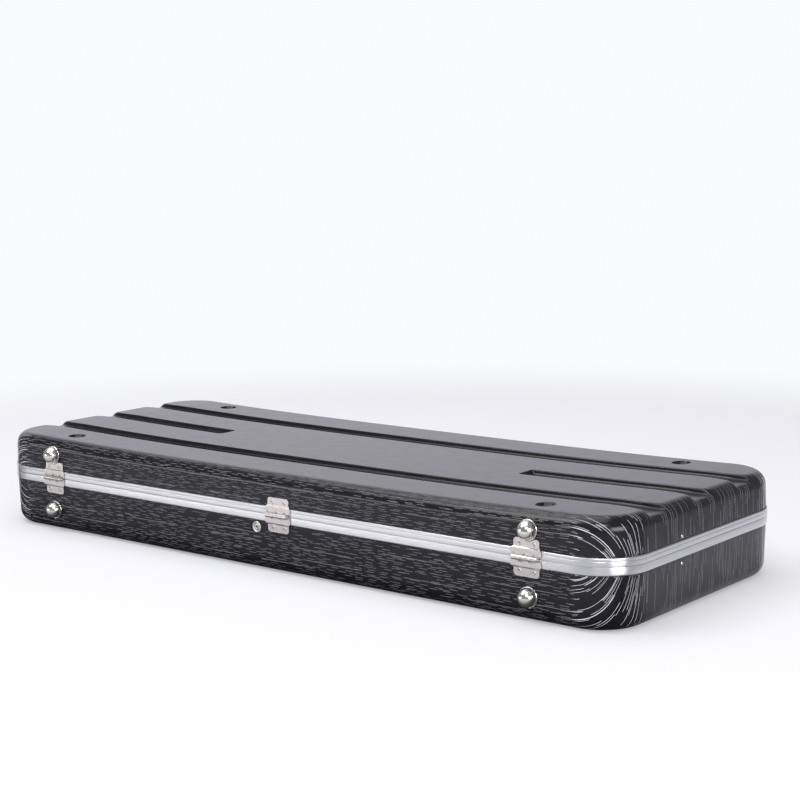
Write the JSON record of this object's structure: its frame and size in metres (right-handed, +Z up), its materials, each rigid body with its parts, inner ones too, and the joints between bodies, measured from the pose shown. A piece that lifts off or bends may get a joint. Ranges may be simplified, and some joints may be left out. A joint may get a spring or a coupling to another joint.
{
  "type": "electric guitar case",
  "caption": "Rectangular hard case for an electric guitar: moulded shells with metal rims, hinged lid, draw latches, carrying handle and a padded, lined inside",
  "frame": {"origin": "middle of the flat underside", "axes": "+X along the case's length, -Y towards the hinges, +Y towards the latches and handle, +Z up"},
  "size_m": [1.045, 0.4214, 0.131],
  "materials": {
    "shell": "glossy black, streaked grain",
    "rim": "anodised extrusion",
    "nickel": "nickel plated",
    "polished_nickel": "polished",
    "steel": "plain",
    "foam": "closed cell foam",
    "plush": "short pile",
    "webbing": "woven",
    "board": "matte",
    "grip": "satin moulded"
  },
  "bodies": {
    "base": {"base_shell": "shell", "base_rim": "rim", "hinge_left_lower_leaf": "nickel", "hinge_middle_lower_leaf": "nickel", "hinge_right_lower_leaf": "nickel", "hinge_left_pin": "steel", "hinge_middle_pin": "steel", "hinge_right_pin": "steel", "bumper_left_lower": "polished_nickel", "bumper_right_lower": "polished_nickel", "wall_eyelet": "nickel", "strap_rivet_lower": "polished_nickel", "lid_strap": "webbing", "base_foam": "foam", "base_lining": "plush", "neck_cradle": "plush", "accessory_box": "board", "latch_1_plate": "nickel", "latch_2_plate": "nickel", "latch_3_plate": "nickel", "latch_4_plate": "nickel", "latch_1_pin": "steel", "latch_2_pin": "steel", "latch_3_pin": "steel", "latch_4_pin": "steel", "handle_bracket_left": "nickel", "handle_bracket_right": "nickel", "handle_pin_left": "steel", "handle_pin_right": "steel"},
    "lid": {"lid_shell": "shell", "lid_rim": "rim", "hinge_left_upper_leaf": "nickel", "hinge_middle_upper_leaf": "nickel", "hinge_right_upper_leaf": "nickel", "bumper_left_upper": "polished_nickel", "bumper_right_upper": "polished_nickel", "strap_rivet_upper": "polished_nickel", "lid_foam_pad": "foam", "lid_lining": "plush", "lid_foam_front": "foam", "lid_foam_back": "foam", "lid_foam_left": "foam", "lid_foam_right": "foam", "latch_1_keeper": "nickel", "latch_2_keeper": "nickel", "latch_3_keeper": "nickel", "latch_4_keeper": "nickel"},
    "accessory_cover": {"accessory_cover": "plush", "accessory_pull_tab": "webbing"},
    "handle": {"handle_grip": "grip"},
    "latch_1_lever": {"latch_1_lever": "nickel"},
    "latch_1_bail": {"latch_1_bail": "polished_nickel"},
    "latch_2_lever": {"latch_2_lever": "nickel"},
    "latch_2_bail": {"latch_2_bail": "polished_nickel"},
    "latch_3_lever": {"latch_3_lever": "nickel"},
    "latch_3_bail": {"latch_3_bail": "polished_nickel"},
    "latch_4_lever": {"latch_4_lever": "nickel"},
    "latch_4_bail": {"latch_4_bail": "polished_nickel"}
  },
  "joints": [
    {"name": "lid_hinge", "type": "hinge", "parent": "base", "child": "lid", "pos_m": [0, -0.1988, 0.076], "axis": [1, 0, 0], "range_deg": [0, 100], "deforming": ["lid_strap"]},
    {"name": "handle_swing", "type": "hinge", "parent": "base", "child": "handle", "pos_m": [0, 0.203, 0.054], "axis": [1, 0, 0], "range_deg": [0, 95]},
    {"name": "cover_lift", "type": "slide", "parent": "base", "child": "accessory_cover", "axis": [0, 0, 1], "range_m": [0, 0.028]},
    {"name": "latch_1_turn", "type": "hinge", "parent": "base", "child": "latch_1_lever", "pos_m": [-0.4, 0.2016, 0.061], "axis": [1, 0, 0], "range_deg": [0, 150]},
    {"name": "latch_1_bail_swing", "type": "hinge", "parent": "latch_1_lever", "child": "latch_1_bail", "pos_m": [-0.4, 0.2001, 0.053], "axis": [1, 0, 0], "range_deg": [-190.5, 0]},
    {"name": "latch_2_turn", "type": "hinge", "parent": "base", "child": "latch_2_lever", "pos_m": [-0.165, 0.2016, 0.061], "axis": [1, 0, 0], "range_deg": [0, 150]},
    {"name": "latch_2_bail_swing", "type": "hinge", "parent": "latch_2_lever", "child": "latch_2_bail", "pos_m": [-0.165, 0.2001, 0.053], "axis": [1, 0, 0], "range_deg": [-190.5, 0]},
    {"name": "latch_3_turn", "type": "hinge", "parent": "base", "child": "latch_3_lever", "pos_m": [0.165, 0.2016, 0.061], "axis": [1, 0, 0], "range_deg": [0, 150]},
    {"name": "latch_3_bail_swing", "type": "hinge", "parent": "latch_3_lever", "child": "latch_3_bail", "pos_m": [0.165, 0.2001, 0.053], "axis": [1, 0, 0], "range_deg": [-190.5, 0]},
    {"name": "latch_4_turn", "type": "hinge", "parent": "base", "child": "latch_4_lever", "pos_m": [0.4, 0.2016, 0.061], "axis": [1, 0, 0], "range_deg": [0, 150]},
    {"name": "latch_4_bail_swing", "type": "hinge", "parent": "latch_4_lever", "child": "latch_4_bail", "pos_m": [0.4, 0.2001, 0.053], "axis": [1, 0, 0], "range_deg": [-190.5, 0]}
  ],
  "couplings": [
    {"joint": "latch_1_bail_swing", "follows": "latch_1_turn", "ratio": -1.267},
    {"joint": "latch_2_bail_swing", "follows": "latch_2_turn", "ratio": -1.267},
    {"joint": "latch_3_bail_swing", "follows": "latch_3_turn", "ratio": -1.267},
    {"joint": "latch_4_bail_swing", "follows": "latch_4_turn", "ratio": -1.267}
  ]
}
